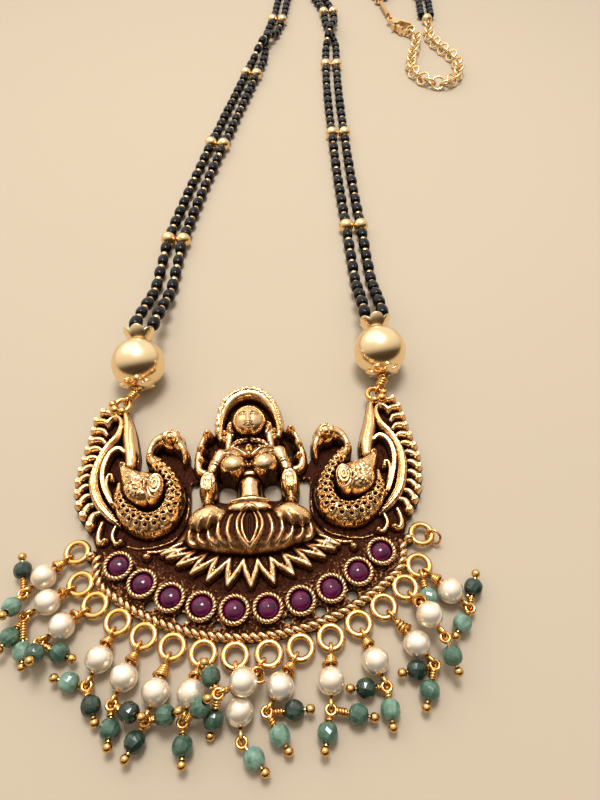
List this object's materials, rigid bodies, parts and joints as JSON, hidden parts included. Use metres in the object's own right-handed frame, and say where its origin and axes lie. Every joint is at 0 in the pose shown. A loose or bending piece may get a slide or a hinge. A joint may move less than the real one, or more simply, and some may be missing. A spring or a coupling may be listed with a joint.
{
  "type": "mangalsutra necklace",
  "caption": "Necklace with a cast gold pendant of a seated figure between peacocks, a pearl and green bead fringe, double strings of black beads and a hook clasp.",
  "frame": {"origin": "on the pendant's middle line, at its flat back, 7 mm below the centre of the rope edge's arc", "axes": "+X to the pendant's right as seen from its front, +Y from the fringe up towards the clasp, +Z out of the pendant's face; the table is Z = 0"},
  "size_m": [0.1041, 0.2862, 0.0097],
  "materials": {
    "antique_gold_casting": "cast, gilt and darkened in the hollows",
    "red_stone": "polished",
    "pearl": "satin lustre",
    "green_stone": "polished",
    "black_glass_beads": "glossy",
    "gold_beads": "polished",
    "gold_wire": "polished wire",
    "gold_clasp": "polished"
  },
  "bodies": {
    "necklace": {"pendant_casting": "antique_gold_casting", "ruby_1": "red_stone", "ruby_2": "red_stone", "ruby_3": "red_stone", "ruby_4": "red_stone", "ruby_5": "red_stone", "ruby_6": "red_stone", "ruby_7": "red_stone", "ruby_8": "red_stone", "ruby_9": "red_stone", "ruby_10": "red_stone", "pearl_1": "pearl", "pearl_2": "pearl", "pearl_3": "pearl", "pearl_4": "pearl", "pearl_5": "pearl", "pearl_6": "pearl", "pearl_7": "pearl", "pearl_8": "pearl", "pearl_9": "pearl", "pearl_10": "pearl", "pearl_11": "pearl", "pearl_12": "pearl", "pearl_13": "pearl", "pearl_14": "pearl", "pearl_15": "pearl", "green_beads_left": "green_stone", "green_beads_right": "green_stone", "drop_wires_left": "gold_wire", "drop_wires_right": "gold_wire", "head_pins_left": "gold_wire", "head_pins_right": "gold_wire", "loose_loop": "gold_wire", "ball_left": "gold_beads", "ball_right": "gold_beads", "ball_cap_left_lower": "gold_beads", "ball_cap_left_upper": "gold_beads", "ball_cap_right_lower": "gold_beads", "ball_cap_right_upper": "gold_beads", "eye_wire_left": "gold_wire", "eye_wire_right": "gold_wire", "string_left_a": "black_glass_beads", "string_left_b": "black_glass_beads", "string_right_a": "black_glass_beads", "string_right_b": "black_glass_beads", "spacer_beads_left": "gold_beads", "spacer_beads_right": "gold_beads", "end_bead_left": "gold_beads", "end_bead_right": "gold_beads", "end_hook_left": "gold_clasp", "end_hook_right": "gold_clasp", "clasp_body": "gold_clasp", "extension_chain": "gold_clasp"},
    "lever": {"clasp_lever": "gold_clasp"}
  },
  "joints": [
    {"name": "lever_pivot", "type": "hinge", "parent": "necklace", "child": "lever", "pos_m": [0.05135, 0.17666, 0.0015], "axis": [0, 0, 1], "range_deg": [0, 30], "stiffness_Nm_per_rad": 0.004}
  ]
}
